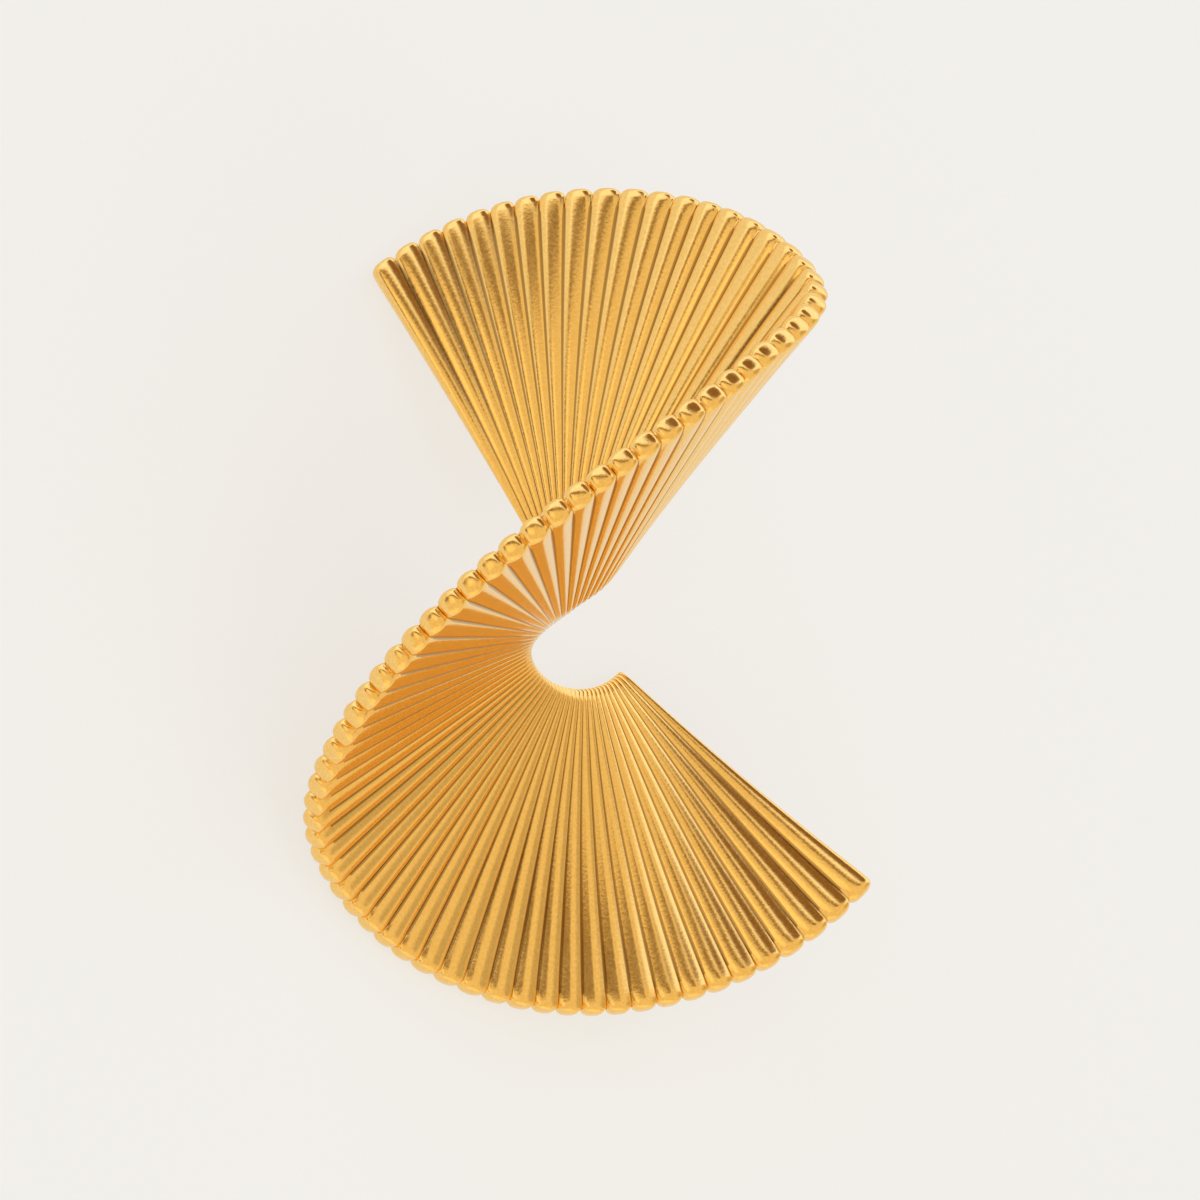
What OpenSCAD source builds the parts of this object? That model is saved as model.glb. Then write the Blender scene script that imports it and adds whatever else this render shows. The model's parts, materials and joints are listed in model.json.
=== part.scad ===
// Fan earring: a pleated strip of tapering round ribs, bent into an open S of two fans, with an ear pin.
// Millimetres, +Z up, lying on its back as it rests when it is taken off, with the viewer on the -Y side.

/* [Strip] */
// Number of ribs in the strip
rib_count = 80; // [40:1:100]
// Length of a rib, from its foot at the inner edge to where its head starts to round
rib_length = 17.8; // [12:0.05:30]
// Thickness of the strip across the rib heads
head_thick = 1.45; // [0.9:0.05:1.8]
// Thickness of the strip across the rib feet
foot_thick = 0.45; // [0.3:0.05:0.8]
// How far the middle of the first and last ribs bows out to the strip's front, off the line from foot to
// head. It fades away towards the strip's waist, where the ribs are straight.
rib_bow = 0.55; // [0:0.05:1]
// How far a head bulges out past the end of its rib
head_round = 0.4; // [0.2:0.02:0.8]
// Width of a head as a share of the pitch from one rib to the next
head_width = 0.96; // [0.8:0.02:0.98]
// Thickness left in the groove between two heads, as a share of the strip's thickness there
head_groove = 0.66; // [0.4:0.02:0.8]
// Thickness left in the groove between two feet, as a share of the strip's thickness there
foot_groove = 0.8; // [0.5:0.02:0.9]
// Flat left on the side of a head, and on the free side of the first and last rib, as a share of
// the strip's thickness there
side_thick = 0.36; // [0.2:0.02:0.4]

/* [Ear post] */
// Diameter of the pin that goes through the ear
pin_d = 0.8; // [0.6:0.05:1.2]
// Length of the pin, from its pad to the end of its round tip
pin_length = 10; // [8:0.5:14]
// Diameter of the round pad that fixes the pin to the strip
pad_d = 3.2; // [2:0.1:4.5]
// Thickness of the pad
pad_thick = 0.5; // [0.3:0.05:1]
// Gap between the pad and the back of the strip
seat_gap = 0.05; // [0.02:0.01:0.2]
// The rib that the pad sits behind, as a share of the way along the strip from its upper left end
post_along = 0.1; // [0.08:0.01:0.14]
// Where the pad's middle sits on that rib, as a share of the way from its foot to its head
post_place = 0.55; // [0.4:0.05:0.7]

/* [Resting] */
// The rib whose head touches the surface, with the first rib's head and the pin's tip, as a share of
// the way along the strip
rest_along = 0.76; // [0.7:0.01:0.82]

/* [Hidden] */

// Columns of the table: where a rib's foot is, and a point that its head lies towards
FOOT = [0, 1, 2];
HEAD = [3, 4, 5];

// Sections at equal steps along the strip, from its upper left end to its lower right end, seen as
// it is worn: across to the viewer's right, back from the viewer, and up, in shares of rib_length
sections = [
    // foot across, back, up    head across, back, up
    [-0.10, 0.34,  0.16,   -0.58,  0.54,  1.01],
    [-0.04, 0.34,  0.25,   -0.10,  0.56,  1.21],
    [ 0.07, 0.32,  0.26,    0.42,  0.40,  1.18],
    [ 0.14, 0.28,  0.18,    0.73,  0.02,  0.95],
    [ 0.10, 0.26,  0.06,    0.50, -0.40,  0.68],
    [ 0.00, 0.27, -0.02,    0.09, -0.65,  0.37],
    [-0.08, 0.32, -0.08,   -0.33, -0.65,  0.02],
    [-0.12, 0.40, -0.13,   -0.65, -0.43, -0.35],
    [-0.11, 0.50, -0.19,   -0.77, -0.06, -0.70],
    [-0.06, 0.60, -0.24,   -0.54,  0.22, -1.03],
    [ 0.01, 0.69, -0.26,   -0.09,  0.44, -1.24],
    [ 0.08, 0.76, -0.25,    0.41,  0.57, -1.17],
    [ 0.14, 0.83, -0.21,    0.88,  0.72, -0.87],
];

// Where the viewer is, as the earring is worn
VIEWER = [0, -1, 0];

// Places across a rib, from its crest towards the grooves beside it, as shares of half its pitch
ACROSS = [-0.8, -0.42, 0, 0.42, 0.8];
// Rings of a bulging head, from the rib's end towards its pole: width and reach as shares
HEAD_RINGS = [[0.92, 0.5], [0.62, 0.86]];
// Roundness of the pin and its pad
$fn = 48;

function unit(v) = v / norm(v);
function pick(row, columns) = [for (c = columns) row[c]];

// The strip's middle surface

steps = len(sections) - 1;
// The table goes on for one row past each end, so that the curve runs out smoothly
rows = concat(
    [3 * sections[0] - 3 * sections[1] + sections[2]],
    sections,
    [3 * sections[steps] - 3 * sections[steps - 1] + sections[steps - 2]]
);

// The row at rib k, which may be between two ribs, on a smooth curve through the table's rows
function row_at(k) =
    let (
        place = k / (rib_count - 1) * steps,
        i = max(0, min(floor(place), steps - 1)),
        f = place - i,
        a = rows[i],
        b = rows[i + 1],
        c = rows[i + 2],
        d = rows[i + 3]
    )
    b + f / 2 * (c - a + f * (2 * a - 5 * b + 4 * c - d + f * (3 * (b - c) + d - a)));

function rib_at(along) = round(along * (rib_count - 1));
function rib_way(k) = let (row = row_at(k)) unit(pick(row, HEAD) - pick(row, FOOT));
function on_line(k, share) = rib_length * (pick(row_at(k), FOOT) + share * rib_way(k));
function pitch(k, share) = on_line(k + 0.5, share) - on_line(k - 0.5, share);
function back_way(k, share) = unit(cross(rib_way(k), pitch(k, share)));
// A rib is bowed in two straight halves, so it has one ring of points between its foot and its head
function bow_at(k) = rib_bow * cos(180 * k / (rib_count - 1)) ^ 4;
function on_rib(k, share) = on_line(k, share) - bow_at(k) * (1 - abs(2 * share - 1)) * back_way(k, share);
function half_thick(share) = (foot_thick + (head_thick - foot_thick) * share) / 2;

// The strip's skin: columns of points run from foot to head at places across each rib

RINGS = [0, 0.5, 1];
per_rib = len(ACROSS) + 1;
column_count = per_rib * rib_count + 1;

// A rib's crest is an arc, which falls off to the grooves beside it: the height at a place across it, as
// a share of the half thickness. The grooves are deeper at the heads than at the feet.
function groove_at(share) = foot_groove + (head_groove - foot_groove) * share;
function rise(across, share) = 1 - (1 - groove_at(share)) * across * across;

// A column's place in ribs, and its height as a share of the half thickness
function column_place(c) =
    let (k = floor(c / per_rib), j = c % per_rib)
    c == 0 ? -head_width / 2
    : c == column_count - 1 ? rib_count - 1 + head_width / 2
    : j == 0 ? k - 0.5
    : k + ACROSS[j - 1] / 2;
function column_height(c, share) =
    let (j = c % per_rib)
    c == 0 || c == column_count - 1 ? side_thick
    : j == 0 ? groove_at(share)
    : rise(ACROSS[j - 1], share);

function skin(share, side) = [
    for (c = [0 : column_count - 1])
        let (place = column_place(c), height = column_height(c, share) * half_thick(share))
        on_rib(place, share) + side * height * back_way(place, share)
];

// Places round one head: over its front from side to side, then back behind it
front = concat([-1], ACROSS, [1]);
round_count = 2 * len(front);

function head_points(k) =
    let (
        middle = on_rib(k, 1),
        across = pitch(k, 1),
        out = head_round * rib_way(k),
        back = half_thick(1) * back_way(k, 1)
    )
    concat(
        [
            for (ring = HEAD_RINGS, i = [0 : round_count - 1])
                let (
                    before = i < len(front),
                    place = front[before ? i : round_count - 1 - i],
                    height = abs(place) < 1 ? rise(place, 1) : side_thick,
                    offset = place * head_width / 2 * across + (before ? -1 : 1) * height * back
                )
                middle + ring[1] * out + ring[0] * offset
        ],
        [middle + out]
    );

worn_points = concat(
    [for (share = RINGS, side = [-1, 1]) each skin(share, side)],
    [for (k = [0 : rib_count - 1]) each head_points(k)]
);

// Numbers of the points, in the order of that list
last = len(RINGS) - 1;
function skin_front(ring, c) = 2 * ring * column_count + c;
function skin_back(ring, c) = (2 * ring + 1) * column_count + c;
head_start = 2 * len(RINGS) * column_count;
head_size = len(HEAD_RINGS) * round_count + 1;
function head_ring(k, ring, i) =
    let (j = i % round_count)
    ring > 0 ? head_start + k * head_size + (ring - 1) * round_count + j
    : j <= per_rib ? skin_front(last, k * per_rib + j)
    : skin_back(last, k * per_rib + round_count - 1 - j);
function head_pole(k) = head_start + (k + 1) * head_size - 1;

function quad(a, b, c, d) = [[a, b, c], [a, c, d]];

fan_faces = concat(
    [
        for (r = [0 : last - 1], c = [0 : column_count - 2])
            each concat(
                quad(skin_front(r, c), skin_front(r + 1, c), skin_front(r + 1, c + 1), skin_front(r, c + 1)),
                quad(skin_back(r, c), skin_back(r, c + 1), skin_back(r + 1, c + 1), skin_back(r + 1, c))
            )
    ],
    [
        for (c = [0 : column_count - 2])
            each quad(skin_front(0, c), skin_front(0, c + 1), skin_back(0, c + 1), skin_back(0, c))
    ],
    [
        for (r = [0 : last - 1])
            let (e = column_count - 1)
            each concat(
                quad(skin_front(r, 0), skin_back(r, 0), skin_back(r + 1, 0), skin_front(r + 1, 0)),
                quad(skin_front(r, e), skin_front(r + 1, e), skin_back(r + 1, e), skin_back(r, e))
            )
    ],
    [
        for (k = [0 : rib_count - 1], ring = [0 : len(HEAD_RINGS) - 1], i = [0 : round_count - 1])
            each quad(
                head_ring(k, ring, i),
                head_ring(k, ring + 1, i),
                head_ring(k, ring + 1, i + 1),
                head_ring(k, ring, i + 1)
            )
    ],
    [
        for (k = [0 : rib_count - 1], i = [0 : round_count - 1])
            [head_ring(k, len(HEAD_RINGS), i), head_pole(k), head_ring(k, len(HEAD_RINGS), i + 1)]
    ]
);

// The ear post's place behind its rib

post_k = rib_at(post_along);
post_middle = on_rib(post_k, post_place);
post_way = back_way(post_k, post_place);
// Crests behind which the pad could touch, on the ribs and lengths of rib that it covers
pad_ribs = ceil(pad_d / 2 / norm(pitch(post_k, post_place)));
pad_crests = [
    for (k = [post_k - pad_ribs : post_k + pad_ribs], part = [-1 : 0.25 : 1])
        let (share = post_place + part * pad_d / 2 / rib_length)
        on_rib(k, share) + half_thick(share) * back_way(k, share)
];
pad_height = max([for (p = pad_crests) (p - post_middle) * post_way]) + seat_gap;
tip_centre = post_middle + (pad_height + pad_thick + pin_length - pin_d / 2) * post_way;

// How it lies: on the first rib's head, the head of the rib at rest_along and the pin's tip

function head_reach(k, way) = norm([
    head_round * (rib_way(k) * way),
    half_thick(1) * (back_way(k, 1) * way),
    head_width / 2 * (pitch(k, 1) * way)
]);
rest_k = rib_at(rest_along);
function up_from(a, b, c) = unit(cross(c - a, b - a));
rough_up = up_from(on_rib(0, 1), tip_centre, on_rib(rest_k, 1));
up = up_from(
    on_rib(0, 1) - head_reach(0, -rough_up) * rough_up,
    tip_centre - pin_d / 2 * rough_up,
    on_rib(rest_k, 1) - head_reach(rest_k, -rough_up) * rough_up
);
ahead = unit(up * (VIEWER * up) - VIEWER);
right = cross(ahead, up);
function turned(v) = [v * right, v * ahead, v * up];

turned_points = [for (p = worn_points) turned(p)];
function lowest(axis) = min([for (p = turned_points) p[axis]]);
function highest(axis) = max([for (p = turned_points) p[axis]]);
origin = [
    (lowest(0) + highest(0)) / 2,
    (lowest(1) + highest(1)) / 2,
    min(lowest(2), turned(tip_centre)[2] - pin_d / 2)
];
fan_points = [for (p = turned_points) p - origin];
post_seat = turned(post_middle + pad_height * post_way) - origin;
post_axis = turned(post_way);

// One piece: ribs soldered side by side, each a round rod that tapers from its head to its foot
module fan() {
    color("goldenrod")
        polyhedron(points = fan_points, faces = fan_faces, convexity = 10);
}

// One piece: a plain straight pin with a round tip, on the round pad that holds it to the fan's back
module ear_post() {
    color("gold")
        translate(post_seat)
            rotate([0, acos(post_axis[2]), atan2(post_axis[1], post_axis[0])]) {
                cylinder(d = pad_d, h = pad_thick);
                cylinder(d = pin_d, h = pad_thick + pin_length - pin_d / 2);
                translate([0, 0, pad_thick + pin_length - pin_d / 2])
                    sphere(d = pin_d);
            }
}

fan();
ear_post();
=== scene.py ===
import json
import math
from collections import Counter

import bmesh
import bpy
from mathutils import Matrix, Vector


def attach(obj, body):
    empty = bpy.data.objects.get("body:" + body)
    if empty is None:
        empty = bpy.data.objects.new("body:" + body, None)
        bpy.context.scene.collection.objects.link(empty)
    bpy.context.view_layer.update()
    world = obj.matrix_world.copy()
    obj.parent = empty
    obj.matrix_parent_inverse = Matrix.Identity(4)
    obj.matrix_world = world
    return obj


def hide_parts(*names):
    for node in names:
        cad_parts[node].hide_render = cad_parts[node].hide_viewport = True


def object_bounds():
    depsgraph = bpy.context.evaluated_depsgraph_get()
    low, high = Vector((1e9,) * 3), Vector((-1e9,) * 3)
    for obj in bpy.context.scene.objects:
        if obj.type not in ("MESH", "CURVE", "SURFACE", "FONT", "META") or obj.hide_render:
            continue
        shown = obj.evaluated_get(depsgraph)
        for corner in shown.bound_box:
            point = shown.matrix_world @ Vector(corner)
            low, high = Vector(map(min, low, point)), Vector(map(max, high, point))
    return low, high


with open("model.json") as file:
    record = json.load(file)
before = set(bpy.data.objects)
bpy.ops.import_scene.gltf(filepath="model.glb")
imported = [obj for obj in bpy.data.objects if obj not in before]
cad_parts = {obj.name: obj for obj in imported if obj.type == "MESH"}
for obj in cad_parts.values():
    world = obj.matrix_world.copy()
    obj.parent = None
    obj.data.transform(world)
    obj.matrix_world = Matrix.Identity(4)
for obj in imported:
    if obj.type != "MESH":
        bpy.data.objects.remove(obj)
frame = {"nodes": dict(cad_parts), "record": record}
cad_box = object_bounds()

# Camera
# The photo looks straight at the front of the worn earring. Taken off, the earring lies on its back, so
# the same line of sight comes down at it from above, and the camera is rolled to keep its top upwards.
SIGHT_ELEVATION = math.radians(53.1)
SIGHT_AZIMUTH = math.radians(0.4)
SIGHT_ROLL = math.radians(77.1)
SIGHT_DISTANCE = 0.80
EARRING_HEIGHT = 0.045
HEIGHT_IN_PICTURE = 0.70

box_low, box_high = Vector(cad_box[0]), Vector(cad_box[1])
box_middle = (box_low + box_high) / 2
level_right = Vector((math.cos(SIGHT_AZIMUTH), math.sin(SIGHT_AZIMUTH), 0))
towards_camera = Vector((
    math.sin(SIGHT_AZIMUTH) * math.cos(SIGHT_ELEVATION),
    -math.cos(SIGHT_AZIMUTH) * math.cos(SIGHT_ELEVATION),
    math.sin(SIGHT_ELEVATION),
))
picture_up = Matrix.Rotation(SIGHT_ROLL, 3, towards_camera) @ towards_camera.cross(level_right)
picture_right = picture_up.cross(towards_camera)

bpy.ops.object.select_all(action="DESELECT")
bpy.ops.object.camera_add(location=box_middle + towards_camera * SIGHT_DISTANCE)
camera = bpy.context.object
camera.name = "camera"
camera.rotation_euler = Matrix((picture_right, picture_up, towards_camera)).transposed().to_euler()
camera.data.sensor_fit = "VERTICAL"
camera.data.sensor_height = 24
camera.data.lens = camera.data.sensor_height * SIGHT_DISTANCE * HEIGHT_IN_PICTURE / EARRING_HEIGHT
camera.data.clip_start = 0.01
bpy.context.scene.camera = camera


# Floor
# A seamless sheet of smooth off-white card, wide enough to run out of every view.
FLOOR_WIDTH = 4.0
FLOOR_COLOUR = (0.29, 0.33, 0.41, 1)
FLOOR_GLOW = (1.0, 0.975, 0.94, 1)
FLOOR_GLOW_STRENGTH = 0.63
CARD_GRAIN = 900
CARD_GRAIN_HEIGHT = 0.0002


class Wire:
    """A shader socket that adds and multiplies as a number does. Each sign adds its own Math node."""

    def __init__(self, socket):
        self.socket = socket
        self.tree = socket.id_data

    def node(self, kind, settings, sockets, output=0):
        """Any other node: its settings are set first, then the values or wires of its sockets."""
        made = self.tree.nodes.new(kind)
        for name, value in settings.items():
            setattr(made, name, value)
        for place, value in sockets.items():
            if isinstance(value, Wire):
                self.tree.links.new(value.socket, made.inputs[place])
            else:
                made.inputs[place].default_value = value
        return Wire(made.outputs[output])

    def math(self, operation, *values):
        return self.node("ShaderNodeMath", {"operation": operation}, dict(enumerate(values)))

    def __add__(self, other):
        return self.math("ADD", self, other)

    def __radd__(self, other):
        return self.math("ADD", other, self)

    def __sub__(self, other):
        return self.math("SUBTRACT", self, other)

    def __rsub__(self, other):
        return self.math("SUBTRACT", other, self)

    def __mul__(self, other):
        return self.math("MULTIPLY", self, other)

    def or_more(self, other):
        """The greater of the two values."""
        return self.math("MAXIMUM", self, other)

    def ramp(self, low, high, to_low=0.0, to_high=1.0):
        """Smooth steps from one value to another as the wire goes from low to high."""
        return self.node(
            "ShaderNodeMapRange",
            {"interpolation_type": "SMOOTHSTEP"},
            {"Value": self, "From Min": low, "From Max": high, "To Min": to_low, "To Max": to_high},
        )

    def noise(self, scale, detail=2.0, roughness=0.5):
        """Soft noise at the place that the wire gives, with its grain per metre."""
        return self.node("ShaderNodeTexNoise", {}, {
            "Vector": self, "Scale": scale, "Detail": detail, "Roughness": roughness,
        })

    def between(self, first, second):
        """The colour on the way from the first to the second, by the wire's share."""
        return self.node("ShaderNodeMix", {"data_type": "RGBA"}, {0: self, 6: first, 7: second}, 2)

    def bump(self, strength, height):
        """A surface raised by the wire, so many metres at a value of 1."""
        return self.node("ShaderNodeBump", {}, {"Strength": strength, "Distance": height, "Height": self})

    def feed(self, socket):
        self.tree.links.new(self.socket, socket)


def finish_of(name):
    """A new material with its shader and the wire of its object coordinates."""
    material = bpy.data.materials.new(name)
    material.use_nodes = True
    shader = material.node_tree.nodes["Principled BSDF"]
    place = material.node_tree.nodes.new("ShaderNodeTexCoord").outputs["Object"]
    return material, shader, Wire(place)


bpy.ops.object.select_all(action="DESELECT")
bpy.ops.mesh.primitive_plane_add(size=FLOOR_WIDTH, location=(0, 0, 0))
floor = bpy.context.object
floor.name = "floor"
card, card_shader, card_place = finish_of("smooth_card")
card_shader.inputs["Base Color"].default_value = FLOOR_COLOUR
card_shader.inputs["Roughness"].default_value = 0.65
card_shader.inputs["Specular IOR Level"].default_value = 0.2
card_shader.inputs["Emission Color"].default_value = FLOOR_GLOW
card_shader.inputs["Emission Strength"].default_value = FLOOR_GLOW_STRENGTH
card_grain = card_place.noise(CARD_GRAIN, 3)
card_grain.bump(0.06, CARD_GRAIN_HEIGHT).feed(card_shader.inputs["Normal"])
floor.data.materials.append(card)


# Studio light
# A room with warm walls, a white light over all of its ceiling, another high up at the left, and a small
# pale card beside the camera. Three dark gaps lie between them. The gold shows the lights as cream
# stripes, and the gaps as the brown spots and bands on its rounded heads.
WALL_COLOUR = (1.0, 0.84, 0.57, 1)
LAMP_COLOUR = (0.97, 1.0, 1.1, 1)
GAP_COLOUR = (0.20, 0.11, 0.04, 1)
WALL_STRENGTH = 0.90
LAMP_EXTRA = 0.35
CARD_EXTRA = 0.35
BELOW_EXTRA = 0.3
CORNER_LOSS = 0.3


def in_picture(right, up, towards):
    """A direction given as the picture shows it, in the earring's own frame."""
    return (picture_right * right + picture_up * up + towards_camera * towards).normalized()


def seen_at(across, above):
    """The direction so many degrees to the right of the camera and above it, as the picture shows them."""
    across, above = math.radians(across), math.radians(above)
    return in_picture(math.sin(across) * math.cos(above), math.sin(above), math.cos(across) * math.cos(above))


studio = bpy.data.worlds.new("studio")
studio.use_nodes = True
bpy.context.scene.world = studio
walls = studio.node_tree.nodes["Background"]
way = Wire(studio.node_tree.nodes.new("ShaderNodeTexCoord").outputs["Generated"])


def along(direction):
    """How far the view goes along that direction: 1 straight at it, 0 square to it."""
    return way.node("ShaderNodeVectorMath", {"operation": "DOT_PRODUCT"}, {0: way, 1: direction}, 1)


def round_patch(middle, inner, outer):
    """A patch of the walls round that direction: whole up to the inner angle, gone past the outer one."""
    return along(middle).ramp(math.cos(math.radians(outer)), math.cos(math.radians(inner)))


# The ceiling leans away from the camera. The low gap is a band under its edge.
height = along(in_picture(-0.07, 0.90, -0.43))
ceiling_light = height.ramp(0.25, 0.31)
left_light = round_patch(seen_at(-80, 38), 22, 28)
lamps = ceiling_light.or_more(left_light)
card_beside_camera = round_patch(seen_at(-28, 12), 7, 14)
below = round_patch(seen_at(-20, -75), 25, 50)
right_corner = round_patch(seen_at(84, 8), 10, 28)
high_gap = round_patch(seen_at(52, 60), 15, 26)
under_ceiling = height.ramp(0.06, 0.11) * (1.0 - height.ramp(0.19, 0.24))
low_gap = under_ceiling * round_patch(seen_at(-12, 31), 26, 35)
left_gap = round_patch(seen_at(-54, 10), 5, 12)
gap = low_gap.or_more(high_gap).or_more(left_gap)
gap.between(lamps.between(WALL_COLOUR, LAMP_COLOUR), GAP_COLOUR).feed(walls.inputs["Color"])
light = WALL_STRENGTH + lamps * LAMP_EXTRA + card_beside_camera * CARD_EXTRA
light = light + below * BELOW_EXTRA - right_corner * CORNER_LOSS
light.feed(walls.inputs["Strength"])
bpy.context.scene.view_settings.view_transform = "Standard"


# Pleated strip
# The body of the earring: round rods that taper from head to foot, soldered side by side and bent into
# an S. It is gold-plated brass with a fine satin grain, with shade painted into its colour down in the
# grooves between the rods.
GOLD = (0.95, 0.59, 0.17, 1)
PALE_GRAIN = (1.0, 0.66, 0.22, 1)
# Painted shade: the dark brown colour painted at the bottoms of the grooves
PAINTED_GROOVE_SHADE = (0.46, 0.27, 0.08, 1)
SATIN_GRAIN = 6500
SATIN_GRAIN_HEIGHT = 0.00002
PATCHES = 350
MERGE_WITHIN = 0.000002
ROD_EDGE = 0.006
CUTS_IN_HALF_A_ROD = 5
QUAD_WITHIN = math.radians(12)
SHARPEST_SMOOTH = math.radians(60)

# A groove is an edge that folds inwards by more than this. Angles are in radians, below 0 where the
# metal is hollow.
GROOVE_FOLD = -0.35

# Shade is painted into the grooves with the dirty-colours brush: its setting, and what it writes at the
# bottom of a groove and on flat metal
SHADE_BRUSH_ANGLE = 0.6
SHADE_MASK_IN_GROOVE = 0.004
SHADE_MASK_ON_FLAT = 0.017
EDGES_AT_A_POLE = 8

cad_fan = frame["nodes"]["fan"]
bpy.ops.object.select_all(action="DESELECT")
cad_fan.select_set(True)
bpy.context.view_layer.objects.active = cad_fan
bpy.ops.object.duplicate()
strip = bpy.context.object
strip.name = "pleated_strip"
strip.data.name = "pleated_strip"
strip.data.materials.clear()

bpy.ops.object.mode_set(mode="EDIT")
bpy.ops.mesh.select_all(action="SELECT")
bpy.ops.mesh.remove_doubles(threshold=MERGE_WITHIN)
bpy.ops.mesh.select_all(action="DESELECT")
mesh = bmesh.from_edit_mesh(strip.data)


def long_edges(face):
    return [edge for edge in face.edges if edge.calc_length() > ROD_EDGE]


# Each half of the rods' length is a ring of facets round the strip. Every second long edge of a ring is
# the diagonal of a facet, and the flatter half of them are those.
walked = set()
for start in mesh.faces:
    if start in walked or len(long_edges(start)) < 2:
        continue
    face, edge, ring = start, long_edges(start)[0], []
    while edge not in ring[:1]:
        ring.append(edge)
        face = next(f for f in edge.link_faces if f is not face)
        walked.add(face)
        edge = next(e for e in long_edges(face) if e is not edge)
    halves = ring[0::2], ring[1::2]
    for diagonal in min(halves, key=lambda half: sum(e.calc_face_angle() for e in half)):
        diagonal.select_set(True)
bpy.ops.mesh.dissolve_edges(use_verts=False)
bpy.ops.mesh.select_all(action="DESELECT")
bpy.ops.mesh.select_mode(type="FACE")
mesh = bmesh.from_edit_mesh(strip.data)
for face in mesh.faces:
    face.select_set(not long_edges(face))
bpy.ops.mesh.tris_convert_to_quads(face_threshold=QUAD_WITHIN, shape_threshold=math.pi)
bpy.ops.mesh.select_all(action="DESELECT")
bpy.ops.mesh.select_mode(type="EDGE")
mesh = bmesh.from_edit_mesh(strip.data)
crease = mesh.edges.layers.float.get("crease_edge") or mesh.edges.layers.float.new("crease_edge")
for edge in mesh.edges:
    if edge.calc_length() > ROD_EDGE:
        edge.select_set(True)
        if edge.calc_face_angle_signed() < GROOVE_FOLD:
            edge[crease] = 1.0
            edge.smooth = False

# Each rod is bowed in two straight halves, so its bow goes with the new cuts, which round it off
bow = mesh.verts.layers.float_vector.new("bow")
halfway = mesh.verts.layers.float.new("halfway")
for vert in mesh.verts:
    halves = [edge for edge in vert.link_edges if edge.calc_length() > ROD_EDGE]
    if len(halves) == 2:
        foot, head = (edge.other_vert(vert) for edge in halves)
        vert[halfway] = 1.0
        for point in (foot, vert, head):
            point[bow] = vert.co - (foot.co + head.co) / 2
bmesh.update_edit_mesh(strip.data)
bpy.ops.mesh.subdivide(number_cuts=CUTS_IN_HALF_A_ROD)
mesh = bmesh.from_edit_mesh(strip.data)
for vert in mesh.verts:
    vert.co += vert[bow] * vert[halfway] * (1 - vert[halfway])
mesh.verts.layers.float_vector.remove(bow)
mesh.verts.layers.float.remove(halfway)
bmesh.update_edit_mesh(strip.data)
bpy.ops.object.mode_set(mode="OBJECT")

bpy.ops.object.modifier_add(type="SUBSURF")
rounding = strip.modifiers[-1]
rounding.levels = rounding.render_levels = 1
bpy.ops.object.modifier_apply(modifier=rounding.name)
bpy.ops.object.shade_smooth_by_angle(angle=SHARPEST_SMOOTH)

# Painted shade: a colour attribute that is dark down in the grooves, where the rods shade each other
bpy.ops.geometry.color_attribute_add(
    name="groove_shade_mask", domain="POINT", data_type="FLOAT_COLOR", color=(1, 1, 1, 1)
)
bpy.ops.paint.vertex_color_dirt(
    blur_strength=1, blur_iterations=1, clean_angle=math.pi, dirt_angle=SHADE_BRUSH_ANGLE
)

# The brush also paints shade on the poles of the round heads, so it is wiped off there
painted_shade_data = strip.data.attributes["groove_shade_mask"].data
meeting = Counter(corner for edge in strip.data.edges for corner in edge.vertices)
for corner, edges_there in meeting.items():
    if edges_there >= EDGES_AT_A_POLE:
        painted_shade_data[corner].color = (1, 1, 1, 1)

satin, satin_shader, satin_place = finish_of("satin_gold")
groove_shade_mask = satin_place.node("ShaderNodeAttribute", {"attribute_name": "groove_shade_mask"}, {}, 2)
grain = satin_place.noise(SATIN_GRAIN, 3)
patches = satin_place.noise(PATCHES, 3)
plated = grain.ramp(0.35, 0.65).between(GOLD, PALE_GRAIN)
# Painted shade: the base colour goes dark brown down in the grooves
painted_shade_share = groove_shade_mask.ramp(SHADE_MASK_IN_GROOVE, SHADE_MASK_ON_FLAT, 1.0, 0.0)
painted_shade_share.between(plated, PAINTED_GROOVE_SHADE).feed(satin_shader.inputs["Base Color"])
(0.10 + patches * 0.06 + grain * 0.08).feed(satin_shader.inputs["Roughness"])
satin_shader.inputs["Metallic"].default_value = 1.0
grain.bump(0.25, SATIN_GRAIN_HEIGHT).feed(satin_shader.inputs["Normal"])
strip.data.materials.append(satin)

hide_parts("fan")
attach(strip, "root")


# Ear post
# The straight pin that goes through the ear, turned in one piece with the round pad behind the strip.
# It is brass, gold plated and polished. The pin stands on the pad's middle with a small fillet.
PIN_RADIUS = 0.0004
PIN_LENGTH = 0.010
PAD_RADIUS = 0.0016
PAD_THICK = 0.0005
PAD_ROUNDING = 0.00012
FILLET = 0.00022
TIP_ROUNDING = PIN_RADIUS * 0.94
SAME_PLACE = 0.000001
RUBBED = 700
POLISHED_GOLD = (0.98, 0.74, 0.33, 1)
RUBBED_GOLD = (0.93, 0.66, 0.25, 1)

ear_pin = next(mount for mount in frame["record"]["mounts"] if mount["name"] == "ear_pin")
pin_axis = Vector(ear_pin["axis"]).normalized()
post_seat = Vector(ear_pin["pos_m"]) - pin_axis * (PAD_THICK + (PIN_LENGTH - PIN_RADIUS) / 2)

bpy.ops.object.select_all(action="DESELECT")
bpy.ops.mesh.primitive_cylinder_add(
    vertices=64, radius=PAD_RADIUS, depth=PAD_THICK, location=(0, 0, PAD_THICK / 2)
)
post = bpy.context.object
post.name = "ear_pin_and_pad"
post.data.name = "ear_pin_and_pad"
bpy.ops.object.transform_apply(location=True, rotation=True, scale=True)


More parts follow.
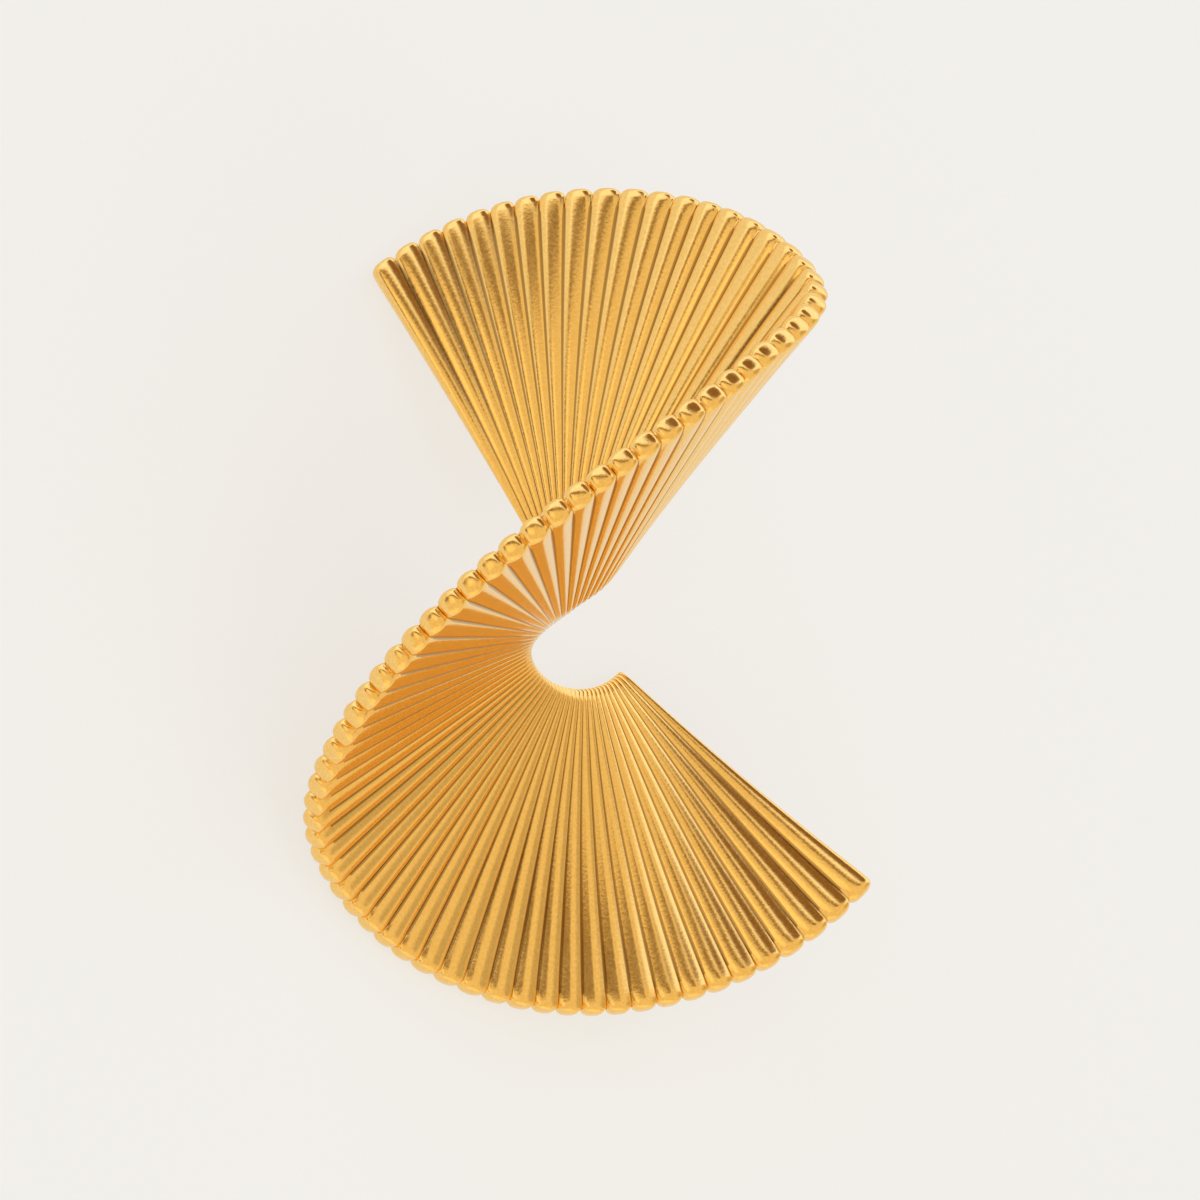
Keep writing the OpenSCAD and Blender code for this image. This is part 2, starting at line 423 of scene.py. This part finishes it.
def select_where(obj, test):
    """In edit mode: selects the edges whose ends both pass the test, and nothing else."""
    bpy.ops.mesh.select_mode(type="EDGE")
    bpy.ops.mesh.select_all(action="DESELECT")
    drawn = bmesh.from_edit_mesh(obj.data)
    for edge in drawn.edges:
        edge.select_set(all(test(corner.co) for corner in edge.verts))
    bmesh.update_edit_mesh(obj.data)


bpy.ops.object.mode_set(mode="EDIT")
bpy.ops.mesh.select_mode(type="FACE")
bpy.ops.mesh.select_all(action="DESELECT")
for face in bmesh.from_edit_mesh(post.data).faces:
    face.select_set(face.normal.z > 0.9)
bpy.ops.mesh.inset(thickness=PAD_RADIUS - PIN_RADIUS)
bpy.ops.mesh.extrude_region_move(TRANSFORM_OT_translate={"value": (0, 0, PIN_LENGTH)})
select_where(post, lambda co: co.z > PAD_THICK + PIN_LENGTH / 2)
bpy.ops.mesh.bevel(offset=TIP_ROUNDING, segments=7)
select_where(post, lambda co: abs(co.z - PAD_THICK) < SAME_PLACE and co.to_2d().length < PIN_RADIUS * 1.1)
bpy.ops.mesh.bevel(offset=FILLET, segments=4)
select_where(post, lambda co: co.z < PAD_THICK + SAME_PLACE and co.to_2d().length > PAD_RADIUS * 0.99)
drawn = bmesh.from_edit_mesh(post.data)
for edge in drawn.edges:
    edge.select_set(edge.select and abs(edge.verts[0].co.z - edge.verts[1].co.z) < SAME_PLACE)
bpy.ops.mesh.bevel(offset=PAD_ROUNDING, segments=3)
bpy.ops.object.mode_set(mode="OBJECT")
post.rotation_euler = pin_axis.to_track_quat("Z", "X").to_euler()
post.location = post_seat
bpy.ops.object.transform_apply(location=True, rotation=True, scale=True)
bpy.ops.object.shade_smooth_by_angle(angle=math.radians(35))

polished, polished_shader, polished_place = finish_of("polished_gold")
rubbed = polished_place.noise(RUBBED, 4, 0.6)
rubbed.between(POLISHED_GOLD, RUBBED_GOLD).feed(polished_shader.inputs["Base Color"])
(0.12 + rubbed * 0.12).feed(polished_shader.inputs["Roughness"])
polished_shader.inputs["Metallic"].default_value = 1.0
post.data.materials.append(polished)

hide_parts("ear_post")
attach(post, "root")
